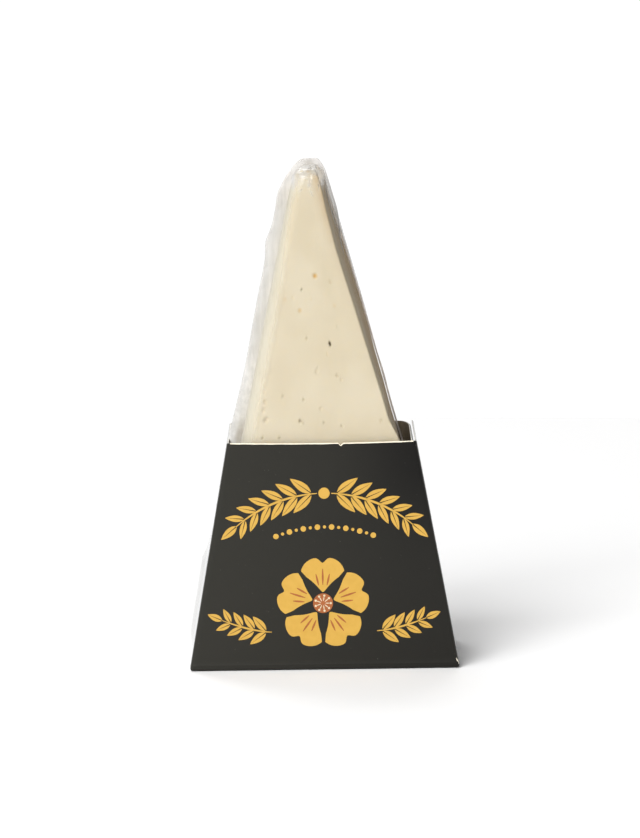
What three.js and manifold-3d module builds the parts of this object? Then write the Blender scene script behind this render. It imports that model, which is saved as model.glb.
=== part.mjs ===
// A wedge of aged almond cheese, vacuum packed in clear film, standing tip up in a tapered card sleeve.
// Millimetres, +Z up, the front towards -Y, the origin in the middle of the sleeve's underside.
import * as THREE from "three";
import { mergeVertices } from "three/addons/utils/BufferGeometryUtils.js";
import Module from "manifold-3d";

const { clamp, degToRad, lerp, smoothstep } = THREE.MathUtils;

// The card sleeve: upright trapezoid panels front and back, leaning side panels, a base, an open mouth.
const SLEEVE = {
  baseWidth: 60,
  mouthWidth: 42,
  depth: 42,
  height: 50.5,
  card: 0.45,
  foldRadius: 0.8,
};

// On the right the side panel is glued over a flap that the back panel carries round a soft corner.
const OVERLAP = { gap: 0.35, glueTop: 34, cornerRadius: 3, frontEnd: -20.1 };

// The left side panel is pushed out below its middle.
const BULGE = { reach: 1.7, foot: 0.5, full: 6, fade: 20, top: 28 };

// A small die-cut nick in the front panel's top edge.
const NICK = { x: 4.2, width: 1.2, depth: 0.5 };

// The cheese is a slice of a wheel. The front shows the triangle between its two cuts, its rind is below.
const WEDGE = {
  apexX: -3.95,
  apexZ: 119.1,
  wheelRadius: 118.3,
  leftCut: 11.6,
  rightCut: 16.7,
  front: -19.3,
  back: 19,
  ridgeTop: 111,
  ridgeRadius: 2.4,
  ridgeTurn: 0.75,
  edgeRadius: 1.6,
  skew: 0.0205,
  clearance: 0.5,
  spread: 0.5,
};

// The pouch's seam stands round the wedge as a flat fin: up the left cut, over the tip and down the right.
// On the right it is a short fin by the tip, and below that it lies folded against the wedge as a pleat.
const SEAM = {
  y: 0.6,
  thickness: 0.9,
  foot: 9,
  leftReach: 3.2,
  rightReach: 1.6,
  leftShoulder: 104.5,
  rightShoulder: 109.2,
  rightFoot: 90,
  crestZ: 112,
  crestLeft: -3.3,
  crestRight: -0.2,
  crestTurn: 0.62,
};
const SEAM_BUMPS = [
  { z: 93, spread: 2.8, reach: 1.1 },
  { z: 104, spread: 2, reach: 0.3 },
  { z: 55, spread: 6, reach: 0.5 },
];
const PLEAT = { y: 4.5, thickness: 3.4, proud: 0.55, foot: 12, top: 108 };

const COLOURS = { card: 0x37352f, cheese: 0xe2d5b4 };

const ARC_STEPS = 4;
const SIDE_STEPS = 8;

const wasm = await Module();
wasm.setup();

// A closed body through a stack of outlines that have as many points each, counter-clockwise from above.
function loft(outlines) {
  const count = outlines[0].length;
  const position = outlines.flatMap((outline) => outline.flatMap((p) => p.toArray()));
  const index = [];
  for (let level = 0; level + 1 < outlines.length; level++) {
    for (let i = 0; i < count; i++) {
      const here = level * count + i;
      const next = level * count + ((i + 1) % count);
      index.push(here, next, next + count, here, next + count, here + count);
    }
  }
  const closeEnd = (outline, start, up) => {
    const middle = outline.reduce((sum, p) => sum.add(p), new THREE.Vector3()).divideScalar(count);
    const centre = position.length / 3;
    position.push(...middle.toArray());
    for (let i = 0; i < count; i++) {
      const here = start + i;
      const next = start + ((i + 1) % count);
      index.push(centre, up ? here : next, up ? next : here);
    }
  };
  closeEnd(outlines[0], 0, false);
  closeEnd(outlines.at(-1), (outlines.length - 1) * count, true);
  const geometry = new THREE.BufferGeometry();
  geometry.setAttribute("position", new THREE.Float32BufferAttribute(position, 3));
  geometry.setIndex(index);
  return geometry;
}

// A geometry's surface as a solid that can be cut and joined.
function solid(geometry) {
  const bare = geometry.clone();
  bare.deleteAttribute("normal");
  bare.deleteAttribute("uv");
  const merged = mergeVertices(bare, 1e-4);
  return new wasm.Manifold(
    new wasm.Mesh({
      numProp: 3,
      vertProperties: new Float32Array(merged.attributes.position.array),
      triVerts: new Uint32Array(merged.index.array),
    }),
  );
}

// A solid's surface as a named mesh with its own material.
function namedMesh(name, shape, finish) {
  const { vertProperties, triVerts } = shape.getMesh();
  const geometry = new THREE.BufferGeometry();
  geometry.setAttribute("position", new THREE.BufferAttribute(vertProperties, 3));
  geometry.setIndex(new THREE.BufferAttribute(triVerts, 1));
  geometry.computeVertexNormals();
  const mesh = new THREE.Mesh(geometry, new THREE.MeshStandardMaterial(finish));
  mesh.name = name;
  return mesh;
}

// A rectangle with its corners rounded, at height z. The radii go front left, front right, back right, back left.
function roundedOutline(left, right, front, back, radii, z) {
  const corners = [
    [left, front, 1, 1, Math.PI],
    [right, front, -1, 1, 1.5 * Math.PI],
    [right, back, -1, -1, 0],
    [left, back, 1, -1, 0.5 * Math.PI],
  ];
  const most = Math.min(right - left, back - front) / 2 - 1e-3;
  const arcs = corners.map(([x, y, inX, inY, start], i) => {
    const r = Math.min(radii[i], most);
    return Array.from({ length: ARC_STEPS + 1 }, (_, k) => {
      const angle = start + (k / ARC_STEPS) * (Math.PI / 2);
      return new THREE.Vector3(x + inX * r + r * Math.cos(angle), y + inY * r + r * Math.sin(angle), z);
    });
  });
  return arcs.flatMap((arc, i) => {
    const end = arc.at(-1);
    const next = arcs[(i + 1) % arcs.length][0];
    const shares = Array.from({ length: SIDE_STEPS - 1 }, (_, k) => (k + 1) / SIDE_STEPS);
    return [...arc, ...shares.map((share) => end.clone().lerp(next, share))];
  });
}

// ---- The card sleeve ----

const HALF_DEPTH = SLEEVE.depth / 2;

// From the middle to the outer face of a side panel at height z.
function halfWidth(z) {
  return lerp(SLEEVE.baseWidth, SLEEVE.mouthWidth, z / SLEEVE.height) / 2;
}

// How far the left side panel stands out at depth y and height z.
function bulge(y, z) {
  const rise = smoothstep(z, BULGE.foot, BULGE.full) * (1 - smoothstep(z, BULGE.fade, BULGE.top));
  const across = Math.cos(clamp(y / HALF_DEPTH, -1, 1) * (Math.PI / 2));
  return BULGE.reach * rise * across ** 0.8;
}

function bulged(outline, z) {
  for (const p of outline) p.x -= p.x < -halfWidth(z) / 2 ? bulge(p.y, z) : 0;
  return outline;
}

// The flap under the right side panel: the face it turns to that panel.
function flapFace(z) {
  return halfWidth(z) - SLEEVE.card - OVERLAP.gap;
}

// The outside, drawn in at the foot where the panels fold into the base.
function sleeveOutside() {
  const r = SLEEVE.foldRadius;
  const foot = [0, 0.06, 0.22, 0.5, 1].map((share) => share * r);
  const wall = [2, 4, 6, 9, 13, 17, 20, 22, 24, 26, 28, OVERLAP.glueTop, SLEEVE.height];
  return loft(
    [...foot, ...wall].map((z) => {
      const inset = z < r ? r - Math.sqrt(r * r - (r - z) ** 2) : 0;
      const half = halfWidth(z) - inset;
      const end = HALF_DEPTH - inset;
      return bulged(roundedOutline(-half, half, -end, end, [r, r, SLEEVE.card / 2, r], z), z);
    }),
  );
}

function sleeveInside() {
  const card = SLEEVE.card;
  const levels = [card, 2, 4, 6, 9, 13, 17, 20, 22, 24, 26, 28, OVERLAP.glueTop, SLEEVE.height + 1];
  const r = SLEEVE.foldRadius - card;
  return loft(
    levels.map((z) => {
      const end = HALF_DEPTH - card;
      const radii = [r, r, OVERLAP.cornerRadius - card, r];
      return bulged(roundedOutline(card - halfWidth(z), flapFace(z) - card, -end, end, radii, z), z);
    }),
  );
}

// The slit between side panel and flap, open above the glue.
function overlapSlit() {
  return loft(
    [OVERLAP.glueTop, SLEEVE.height + 1].map((z) => [
      new THREE.Vector3(flapFace(z), OVERLAP.frontEnd, z),
      new THREE.Vector3(flapFace(z) + OVERLAP.gap, OVERLAP.frontEnd, z),
      new THREE.Vector3(flapFace(z) + OVERLAP.gap, HALF_DEPTH + 1, z),
      new THREE.Vector3(flapFace(z), HALF_DEPTH + 1, z),
    ]),
  );
}

// What is missing outside the flap's soft corner, so that the side panel ends there in a free edge.
function overlapCorner() {
  const r = OVERLAP.cornerRadius;
  return loft(
    [SLEEVE.foldRadius, SLEEVE.height + 1].map((z) => {
      const centre = new THREE.Vector3(flapFace(z) - r, HALF_DEPTH - r, z);
      const arc = Array.from({ length: 9 }, (_, k) => {
        const angle = (k / 8) * (Math.PI / 2);
        return new THREE.Vector3(Math.cos(angle), Math.sin(angle), 0).multiplyScalar(r).add(centre);
      });
      return [
        new THREE.Vector3(flapFace(z) + OVERLAP.gap, HALF_DEPTH - r, z),
        new THREE.Vector3(flapFace(z) + OVERLAP.gap, HALF_DEPTH + 1, z),
        new THREE.Vector3(flapFace(z) - r, HALF_DEPTH + 1, z),
        ...arc.reverse(),
      ];
    }),
  );
}

function nick() {
  const shape = new THREE.Shape([
    new THREE.Vector2(NICK.x - NICK.width, SLEEVE.height + NICK.depth),
    new THREE.Vector2(NICK.x, SLEEVE.height - NICK.depth),
    new THREE.Vector2(NICK.x + NICK.width, SLEEVE.height + NICK.depth),
  ]);
  const prism = new THREE.ExtrudeGeometry(shape, { depth: 4 * SLEEVE.card, bevelEnabled: false });
  return prism.rotateX(Math.PI / 2).translate(0, 2 * SLEEVE.card - HALF_DEPTH, 0);
}

function sleeve() {
  return [sleeveInside, overlapSlit, overlapCorner, nick].reduce(
    (left, cut) => left.subtract(solid(cut())),
    solid(sleeveOutside()),
  );
}

// ---- The wrapped wedge ----

const LEFT_SLOPE = Math.tan(degToRad(WEDGE.leftCut));
const RIGHT_SLOPE = Math.tan(degToRad(WEDGE.rightCut));

// The room for the pack between the sleeve's side panels, opening out again above the mouth.
function leftLimit(z) {
  const above = Math.max(z - SLEEVE.height, 0);
  return SLEEVE.card + WEDGE.clearance - halfWidth(z - above) - WEDGE.spread * above;
}

function rightLimit(z) {
  return flapFace(z) - SLEEVE.card - WEDGE.clearance;
}

// The lesser of two lengths, with a soft turn from one to the other.
function softMin(a, b, turn) {
  const share = clamp(0.5 + (b - a) / (2 * turn), 0, 1);
  return lerp(b, a, share) - turn * share * (1 - share);
}

// Half the wheel's chord at height z.
function halfChord(z) {
  return Math.sqrt(Math.max(WEDGE.wheelRadius ** 2 - (WEDGE.apexZ - z) ** 2, 0));
}

// How far the ridge's long edges have turned in at height z.
function roundedIn(z) {
  const above = Math.max(z - (WEDGE.ridgeTop - WEDGE.ridgeRadius), 0);
  return WEDGE.ridgeRadius - Math.sqrt(Math.max(WEDGE.ridgeRadius ** 2 - above ** 2, 0));
}

// The cut faces at the front of the wedge, from the rind's curve to the ridge.
function leftFace(z) {
  const cut = (WEDGE.apexZ - z) * LEFT_SLOPE;
  const free = softMin(cut, halfChord(z), 0.8) - WEDGE.apexX;
  return -softMin(free, -leftLimit(z), 0.8);
}

function rightFace(z) {
  const cut = (WEDGE.apexZ - z) * RIGHT_SLOPE;
  const free = softMin(cut, halfChord(z), 0.8) + WEDGE.apexX;
  return softMin(free, rightLimit(z) - WEDGE.skew * z, 0.8);
}

// The back of the wedge lies a little further right the higher it is.
function skewAt(y, z) {
  return (WEDGE.skew * z * (y - WEDGE.front)) / (WEDGE.back - WEDGE.front);
}

function wedgeBody() {
  const foot = WEDGE.apexZ - WEDGE.wheelRadius;
  const rind = [0.02, 0.12, 0.4, 0.9, 1.6, 2.4, 3.4, 4.6, 6, 8, 12].map((rise) => foot + rise);
  const sides = [18, 25, 33, 42, 51, 60, 70, 80, 90, 98, 104];
  const turns = [0, 0.3, 0.6, 0.8, 0.93, 0.995];
  const ridge = turns.map((turn) => WEDGE.ridgeTop - WEDGE.ridgeRadius * (1 - turn));
  return loft(
    [...rind, ...sides, ...ridge].map((z) => {
      const inset = roundedIn(z);
      const left = leftFace(z) + WEDGE.ridgeTurn * inset;
      const right = rightFace(z) - WEDGE.ridgeTurn * inset;
      const radii = Array(4).fill(WEDGE.edgeRadius);
      const outline = roundedOutline(left, right, WEDGE.front + inset, WEDGE.back - inset, radii, z);
      for (const p of outline) p.x += skewAt(p.y, z);
      return outline;
    }),
  );
}

// How far the seam's left edge stands off the cut face at height z.
function leftReach(z) {
  const grown = smoothstep(z, SEAM.foot, 2 * SEAM.foot);
  const bumps = SEAM_BUMPS.reduce((sum, b) => sum + b.reach * Math.exp(-(((z - b.z) / b.spread) ** 2)), 0);
  return SEAM.leftReach * grown + bumps;
}

function seamLeft(z) {
  const face = leftFace(z) + skewAt(SEAM.y, z);
  return new THREE.Vector2(-softMin(leftReach(z) - face, -leftLimit(z), 0.6), z);
}

function seamRight(z) {
  const face = rightFace(z) + skewAt(SEAM.y, z);
  return new THREE.Vector2(face + SEAM.rightReach * smoothstep(z, SEAM.rightFoot, 102), z);
}

// Evenly spread heights, both ends among them.
function heights(from, to, steps) {
  return Array.from({ length: steps + 1 }, (_, i) => lerp(from, to, i / steps));
}

// The rounded shoulder from an edge's end to the crest's end.
function shoulder(end, crestX) {
  return [0.2, 0.4, 0.6, 0.8, 1].map((share) => {
    const angle = share * (Math.PI / 2);
    const across = (1 - Math.cos(angle)) ** SEAM.crestTurn;
    return new THREE.Vector2(lerp(end.x, crestX, across), lerp(end.y, SEAM.crestZ, Math.sin(angle)));
  });
}

// A flat plate: its outline, clockwise, in the plane of X and Z, thick along Y.
function plate(outline, y, thickness) {
  const settings = { depth: thickness, bevelEnabled: false };
  const slab = new THREE.ExtrudeGeometry(new THREE.Shape(outline), settings);
  return slab.rotateX(Math.PI / 2).translate(0, y + thickness / 2, 0);
}

function seam() {
  const left = heights(SEAM.foot, SEAM.leftShoulder, 30).map(seamLeft);
  const right = heights(SEAM.rightFoot, SEAM.rightShoulder, 6).map(seamRight);
  const over = [
    ...shoulder(left.at(-1), SEAM.crestLeft),
    ...shoulder(right.at(-1), SEAM.crestRight).reverse(),
  ];
  const inner = [
    new THREE.Vector2(WEDGE.apexX, SEAM.rightFoot),
    new THREE.Vector2(leftFace(SEAM.foot) + WEDGE.edgeRadius, SEAM.foot),
  ];
  return plate([...left, ...over, ...right.reverse(), ...inner].reverse(), SEAM.y, SEAM.thickness);
}

function pleat() {
  const edge = heights(PLEAT.foot, PLEAT.top, 12).map((z) => {
    const face = rightFace(z) + skewAt(PLEAT.y, z);
    return new THREE.Vector2(Math.min(face + PLEAT.proud, rightLimit(z)), z);
  });
  const inner = [PLEAT.top, PLEAT.foot].map((z) => new THREE.Vector2(rightFace(z) - WEDGE.edgeRadius, z));
  return plate([...edge, ...inner], PLEAT.y, PLEAT.thickness);
}

function wrappedWedge() {
  return [seam, pleat].reduce((body, strip) => body.add(solid(strip())), solid(wedgeBody()));
}

const group = new THREE.Group();
group.add(
  namedMesh("card_sleeve", sleeve(), { color: COLOURS.card, roughness: 0.45, metalness: 0 }),
  namedMesh("wrapped_wedge", wrappedWedge(), { color: COLOURS.cheese, roughness: 0.4, metalness: 0 }),
);

export default group;
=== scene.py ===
# A wedge of aged almond cheese in clear vacuum film, standing tip up in a tapered black card sleeve.
# Shapes are worked out in millimetres and made in metres: +Z up, the printed front towards -Y.
import math
from types import SimpleNamespace as Named

import bpy
import numpy as np
from mathutils import Matrix, Vector, noise


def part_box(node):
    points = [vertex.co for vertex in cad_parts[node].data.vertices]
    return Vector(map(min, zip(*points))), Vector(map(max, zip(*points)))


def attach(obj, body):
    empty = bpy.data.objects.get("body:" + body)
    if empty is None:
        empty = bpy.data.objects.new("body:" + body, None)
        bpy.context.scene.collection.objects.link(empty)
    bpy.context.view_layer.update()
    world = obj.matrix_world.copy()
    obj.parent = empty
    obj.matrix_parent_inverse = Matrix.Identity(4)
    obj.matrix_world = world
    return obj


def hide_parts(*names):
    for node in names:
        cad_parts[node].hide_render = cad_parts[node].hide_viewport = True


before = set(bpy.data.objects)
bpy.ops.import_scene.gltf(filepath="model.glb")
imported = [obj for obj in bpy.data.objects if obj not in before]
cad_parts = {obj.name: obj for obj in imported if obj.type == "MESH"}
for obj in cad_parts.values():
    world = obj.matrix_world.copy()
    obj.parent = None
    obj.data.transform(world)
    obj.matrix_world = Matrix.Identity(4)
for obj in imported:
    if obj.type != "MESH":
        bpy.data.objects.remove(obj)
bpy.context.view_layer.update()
MM = 0.001

SLEEVE_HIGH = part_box("card_sleeve")[1]
PACK_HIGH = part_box("wrapped_wedge")[1]

# ---- Sizes in millimetres. A pair says where something starts and where it is complete ----

SLEEVE = Named(base_width=60, mouth_width=42, height=SLEEVE_HIGH.z / MM, card=0.45, fold=0.8)
HALF_DEPTH = SLEEVE_HIGH.y / MM
CUT = Named(height=0.21, lean=0.2, side_height=0.15, side_lean=0.22, ragged=0.05, raised=0.28)
CREASE = Named(z=1.25, width=0.3, proud=0.05)
OVERLAP = Named(gap=0.35, glued=0.06, opening=(30, 42), corner=2.6, corner_depth=10, front_end=-20.1)
BULGE = Named(reach=1.3, lean=1.5, rise=(0.5, 6), buckle=(22.4, 24.8), small=0.32, fade=(25.5, 28.5))
NICK = Named(x=4.2, half_width=0.6, depth=0.5)
SCUFF = Named(foot=0.9, top=2.3, inset=0.18, lean=0.3, width=0.13, proud=0.06)
SIDE = Named(
    swell=0.24, swell_rise=(52, 62), swell_fade=(96, 103), tip_bow=1.35, bow_rise=(92, 110),
    flare=0.95, flare_rise=(20, 44), flare_fade=(50.5, 56), slim=0.5, slim_fade=(66, 80),
)
WEDGE = Named(
    apex_x=-3.95, apex_z=119.1, wheel_radius=118.3, left_cut=11.6, right_cut=16.7, front=-19.3, back=19,
    ridge_top=111, ridge_radius=2.4, ridge_turn=0.75, right_turn=0.3, edges=(3, 0.5, 1.6, 1.6), skew=0.0205,
    clearance=0.5, spread=0.5, turn=0.8, rind=12, lowered=90,
)
CHEESE = Named(
    swell=0.14, swell_size=16, grain=0.05, grain_size=3, pits=150, speckles=90, seed=5,
    radius=(0.25, 0.6), depth=(0.1, 0.4), dark=(0, 0.45), skin=(0.3, 1),
)
FILM_GAP = 0.22
CRUMPLE = Named(slack=0.1, slack_size=5, rise=(102, 110), coarse=0.4, coarse_size=2.4, fine=0.12, fine_size=1.2)
HAZE = Named(
    tight=0.03, side=0.3, edge=0.85, behind=0.35, corner_low=4.2, corner_high=2, corner_turn=(80, 104),
    corner_end=(3, 8), patch_size=2.6, patch_rise=(103, 108), tip=(108.3, 110.6), crest=(110, 110.9),
    upper=(106, 108.8),
)
PLEAT = Named(
    y=9.2, low_y=16.2, low_turn=(66, 80), high_y=2, high_turn=(84, 106), proud=0.3, foot=14, top=107, end=4,
    step=0.5, sway=0.3, shade_from=6, shade_width=2.2,
)
SEAM = Named(
    y=0.6, low_y=-13, turn=(46, 70), foot=9, left_reach=3.1, right_reach=1.6, left_shoulder=104.5,
    right_shoulder=109.2, right_rise=(90, 102), crest_z=PACK_HIGH.z / MM + 0.2, crest_left=-2.9,
    crest_right=-0.4, crest_turn=0.56, film=0.12, slack=0.42, sunk=0.7, tip=(96, 109),
)
SEAM_BUMPS = [
    Named(z=93.5, spread=2.6, reach=0.7),
    Named(z=104, spread=2, reach=0.2),
    Named(z=64, spread=10, reach=-0.35),
]
SEAM_WAVES = [
    Named(size=7, reach=0.35, at_tip=0.2, seed=31),
    Named(size=2, reach=0.16, at_tip=0, seed=32),
    Named(size=1.6, reach=0, at_tip=0.2, seed=33),
]

# ---- The camera: where it stands and how it looks, fitted to the sleeve's corners ----

IMAGE = Named(width=640, height=838)
VIEW = Named(
    distance=1210.3, elevation=6.13, azimuth=0.03, roll=-0.80, focal_pixels=5396.1,
    target=(-0.32, 0, 53.62), sensor=36,
)


def make_camera():
    azimuth, elevation, roll = (math.radians(a) for a in (VIEW.azimuth, VIEW.elevation, VIEW.roll))
    away = math.cos(elevation)
    back = Vector((math.sin(azimuth) * away, -math.cos(azimuth) * away, math.sin(elevation)))
    level = Vector((0, 0, 1)).cross(back).normalized()
    upright = back.cross(level)
    right = level * math.cos(roll) + upright * math.sin(roll)
    up = upright * math.cos(roll) - level * math.sin(roll)
    place = (Vector(VIEW.target) + back * VIEW.distance) * MM
    data = bpy.data.cameras.new("camera")
    data.sensor_width = VIEW.sensor
    data.lens = VIEW.focal_pixels * VIEW.sensor / max(IMAGE.width, IMAGE.height)
    camera = bpy.data.objects.new("camera", data)
    camera.matrix_world = Matrix.Translation(place) @ Matrix((right, up, back)).transposed().to_4x4()
    bpy.context.scene.collection.objects.link(camera)
    bpy.context.scene.camera = camera


# ---- Finishes: node materials, with their maths written as expressions ----


class Value:
    """The output of a node. Arithmetic on values adds Math nodes."""

    def __init__(self, finish, socket):
        self.finish = finish
        self.socket = socket

    def math(self, operation, *terms, clamp=False):
        return self.finish.node("Math", {"operation": operation, "use_clamp": clamp}, dict(enumerate(terms)))

    def __add__(self, other):
        return self.math("ADD", self, other)

    __radd__ = __add__

    def __sub__(self, other):
        return self.math("SUBTRACT", self, other)

    def __rsub__(self, other):
        return self.math("SUBTRACT", other, self)

    def __mul__(self, other):
        return self.math("MULTIPLY", self, other)

    __rmul__ = __mul__

    def clamped(self):
        return self.math("ADD", self, 0, clamp=True)

    def ramp(self, low, high):
        """Nought below low, one above high and smooth between. If low is the greater, the reverse."""
        ends = {"From Min": low, "From Max": high}
        if low > high:
            ends = {"From Min": high, "From Max": low, "To Min": 1, "To Max": 0}
        settings = {"interpolation_type": "SMOOTHSTEP"}
        return self.finish.node("MapRange", settings, {"Value": self, **ends})


class Finish:
    """The nodes of a material or of the world, added through node()."""

    def __init__(self, owner, place="Object"):
        self.owner = owner
        owner.use_nodes = True
        self.tree = owner.node_tree
        self.tree.nodes.clear()
        self.place = self.node("TexCoord", output=place)

    def node(self, kind, settings=None, inputs=None, output=0):
        node = self.tree.nodes.new("ShaderNode" + kind)
        for key, value in (settings or {}).items():
            setattr(node, key, value)
        for key, value in (inputs or {}).items():
            if isinstance(value, Value):
                self.tree.links.new(value.socket, node.inputs[key])
            else:
                node.inputs[key].default_value = value
        return None if output is None else Value(self, node.outputs[output])

    def noise(self, size, detail=2, stretch=(1, 1, 1)):
        """Soft noise with patches about size millimetres across, longer along an axis with a stretch."""
        scale = {"Scale": tuple(1 / s for s in stretch)}
        place = self.node("Mapping", None, {"Vector": self.place, **scale}, "Vector")
        return self.node("TexNoise", None, {"Vector": place, "Scale": 1 / (size * MM), "Detail": detail})

    def attribute(self, name):
        return self.node("Attribute", {"attribute_name": name}, None, "Fac")

    def mix(self, factor, a, b):
        a, b = (colour if isinstance(colour, Value) else (*colour, 1) for colour in (a, b))
        return self.node("Mix", {"data_type": "RGBA"}, {0: factor, 6: a, 7: b}, 2)

    def where(self, name, colour, other):
        """The colour, turned into the other one as far as the mesh's value of that name says."""
        return self.mix(self.attribute(name).clamped(), colour, other)

    def bump(self, height, depth, strength=1):
        """A bump of depth millimetres where height is one."""
        return self.node("Bump", None, {"Height": height, "Distance": depth * MM, "Strength": strength})

    def surface(self, colour, roughness, normal=None, **constants):
        sockets = {"Base Color": colour, "Roughness": roughness}
        if normal:
            sockets["Normal"] = normal
        return self.node("BsdfPrincipled", None, {**sockets, **constants})

    def blend(self, factor, a, b):
        return self.node("MixShader", None, {0: factor, 1: a, 2: b})

    def done(self, shader, kind="OutputMaterial"):
        self.node(kind, None, {"Surface": shader}, None)
        return self.owner


def finish(name):
    return Finish(bpy.data.materials.new(name))


# Linear colours: red, green and blue. Two of a name are the ends between which a noise mixes.
COLOURS = Named(
    thin_black=(0.0235, 0.0225, 0.0185), full_black=(0.003, 0.0027, 0.0025), dust=(0.30, 0.28, 0.24),
    bare=((0.235, 0.19, 0.13), (0.335, 0.285, 0.21)), pulp=((0.76, 0.69, 0.54), (0.86, 0.81, 0.68)),
    worn=((0.50, 0.49, 0.44), (0.68, 0.67, 0.62)),
    gold=((0.50, 0.288, 0.035), (0.53, 0.308, 0.042)), brown=((0.27, 0.07, 0.008), (0.31, 0.08, 0.01)),
    cream=((0.58, 0.51, 0.34), (0.63, 0.56, 0.39)),
    paste=((0.495, 0.43, 0.308), (0.535, 0.475, 0.358)), grain=(0.59, 0.49, 0.31), bits=(0.42, 0.30, 0.15),
    dry=(0.40, 0.302, 0.183), almond=(0.46, 0.26, 0.05), hollow=(0.07, 0.05, 0.018),
    cool=((0.515, 0.51, 0.495), (0.615, 0.61, 0.605)), warm=((0.465, 0.435, 0.35), (0.505, 0.475, 0.395)),
    bright=((0.86, 0.80, 0.75), (0.92, 0.87, 0.83)), warm_bright=(0.97, 0.86, 0.69),
    crest=(0.42, 0.40, 0.365), fold=(0.20, 0.17, 0.12), clear=(0.985, 0.985, 0.98, 1),
    floor=((0.92, 0.92, 0.92), (0.90, 0.90, 0.90)),
)
HALF_AND_HALF = (0.3, 0.7)


def black_coating():
    """Black print on coated board, with a painted sheen: lighter to the left and darker at the upper right. A
    faint tooth, soft ripples, a few dusty specks.
    """
    f = finish("black_coating")
    tooth = f.noise(0.35, 3)
    ripple = f.noise(14, 1, (1, 1, 1.8))
    dust = f.noise(0.5, 1).ramp(0.74, 0.8)
    x, z = (f.node("SeparateXYZ", None, {"Vector": f.place}, axis) for axis in "XZ")
    # Painted sheen and shade: the black is lighter to the left and darkest at the upper right.
    upper_right = x.ramp(0, 24 * MM) * z.ramp(22 * MM, 50 * MM)
    deep = x.ramp(-32 * MM, 34 * MM) * 0.5 + upper_right * 0.45 + f.noise(6, 3) * 0.06
    colour = f.mix(deep.clamped(), COLOURS.thin_black, COLOURS.full_black)
    colour = f.mix(dust * 0.16, colour, COLOURS.dust)
    normal = f.bump(tooth * 0.25 + ripple * 5, 0.012, 0.6)
    varnish = {"Coat Weight": f.attribute("varnish"), "Coat Roughness": 0.06, "Specular IOR Level": 0.127}
    return f.done(f.surface(colour, 0.28 + f.noise(3, 3) * 0.08, normal, **varnish))


def bare_board():
    """The board's uncoated inner side, dark brown grey with fibres."""
    f = finish("bare_board")
    fibre = f.noise(0.6, 4, (3, 3, 1))
    return f.done(f.surface(f.mix(fibre, *COLOURS.bare), 0.8, f.bump(fibre, 0.03)))


def board_core():
    """The white pulp that shows wherever the board is cut."""
    f = finish("board_core")
    fibre = f.noise(0.25, 3)
    colour = f.mix(fibre.ramp(*HALF_AND_HALF), *COLOURS.pulp)
    return f.done(f.surface(colour, 0.85, f.bump(fibre, 0.02)))


def grey_side_edge():
    """The cut edges of the sides, greyer than the front's."""
    f = finish("grey_side_edge")
    return f.done(f.surface(f.mix(f.noise(0.4, 3).ramp(*HALF_AND_HALF), *COLOURS.worn), 0.8))


def ink(name, colours):
    """Opaque ink, a little uneven in its film."""
    f = finish(name)
    colour = f.mix(f.noise(1.6, 3).ramp(*HALF_AND_HALF), *colours)
    return f.done(f.surface(colour, 0.42 + f.noise(0.4, 2) * 0.12, f.bump(f.noise(0.3, 2), 0.004)))


def cheese_paste():
    """Cream paste: clouded, with painted shade in its small pits and on its shaded faces, and brown flecks of
    almond skin.
    """
    f = finish("cheese_paste")
    clouds = f.noise(9, 3, (1, 1, 1.6))
    grain = f.noise(0.9, 4)
    bits = f.noise(0.8, 1).ramp(0.755, 0.80)
    colour = f.mix(clouds.ramp(*HALF_AND_HALF), *COLOURS.paste)
    colour = f.mix(grain.ramp(0.45, 0.75) * 0.35, colour, COLOURS.grain)
    colour = f.mix(bits * 0.45, colour, COLOURS.bits)
    # Two of these values paint shade: one on the right face and edge, one in the pits and low on the right
    # face.
    for name in ("dry", "almond", "hollow"):
        colour = f.where(name, colour, getattr(COLOURS, name))
    soft = {"Subsurface Weight": 0.12, "Subsurface Radius": (0.006, 0.004, 0.002), "Subsurface Scale": 0.25}
    normal = f.bump(grain * 0.6 + clouds, 0.05, 0.5)
    return f.done(f.surface(colour, 0.5 + grain * 0.15, normal, **soft, **{"Specular IOR Level": 0}))


def clear_film():
    """Clear film: hardly seen where it lies tight, milky where it is crumpled, doubled or sealed."""
    f = finish("clear_film")
    streak = f.noise(1.1, 3, (1, 1, 9))
    crinkle = f.noise(2.2, 4, (1, 1, 2.5))
    normal = f.bump(crinkle * 2 + streak, 0.07, 0.7)
    cool, warm, bright = (f.mix(streak, *pair) for pair in (COLOURS.cool, COLOURS.warm, COLOURS.bright))
    milk = f.where("warmth", cool, warm)
    # bright paints light: a lighter milk on the film's shaded upper right, along the pleat and on the seam's
    # tip.
    milk = f.where("bright", milk, f.where("warmth", bright, COLOURS.warm_bright))
    # crest and fold paint shade on the milk: grey on the top, dark along folds, behind the pleat and where the
    # seam goes into the sleeve.
    for name in ("crest", "fold"):
        milk = f.where(name, milk, getattr(COLOURS, name))
    haze = f.attribute("haze") * (0.75 + 0.5 * streak)
    gloss = f.node("Fresnel", None, {"IOR": 1.4, "Normal": normal}) * f.attribute("gloss")
    clear = f.node("BsdfTransparent", None, {"Color": COLOURS.clear})
    shine = f.node("BsdfGlossy", None, {"Color": (1, 1, 1, 1), "Roughness": 0.22, "Normal": normal})
    white = f.surface(milk, 0.4, normal, **{"Specular IOR Level": 0.2})
    return f.done(f.blend(haze.clamped(), f.blend(gloss.clamped(), clear, shine), white))


def pale_floor():
    f = finish("pale_floor")
    return f.done(f.surface(f.mix(f.noise(60) * 0.2, *COLOURS.floor), 0.9))


# ---- Meshes ----


def smoothstep(value, low, high):
    share = np.clip((np.asarray(value, float) - low) / (high - low), 0, 1)
    return share * share * (3 - 2 * share)


def soft_min(a, b, turn):
    """The lesser of two lengths, with a soft turn from one to the other."""
    share = np.clip(0.5 + (b - a) / (2 * turn), 0, 1)
    return b + (a - b) * share - turn * share * (1 - share)


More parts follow.
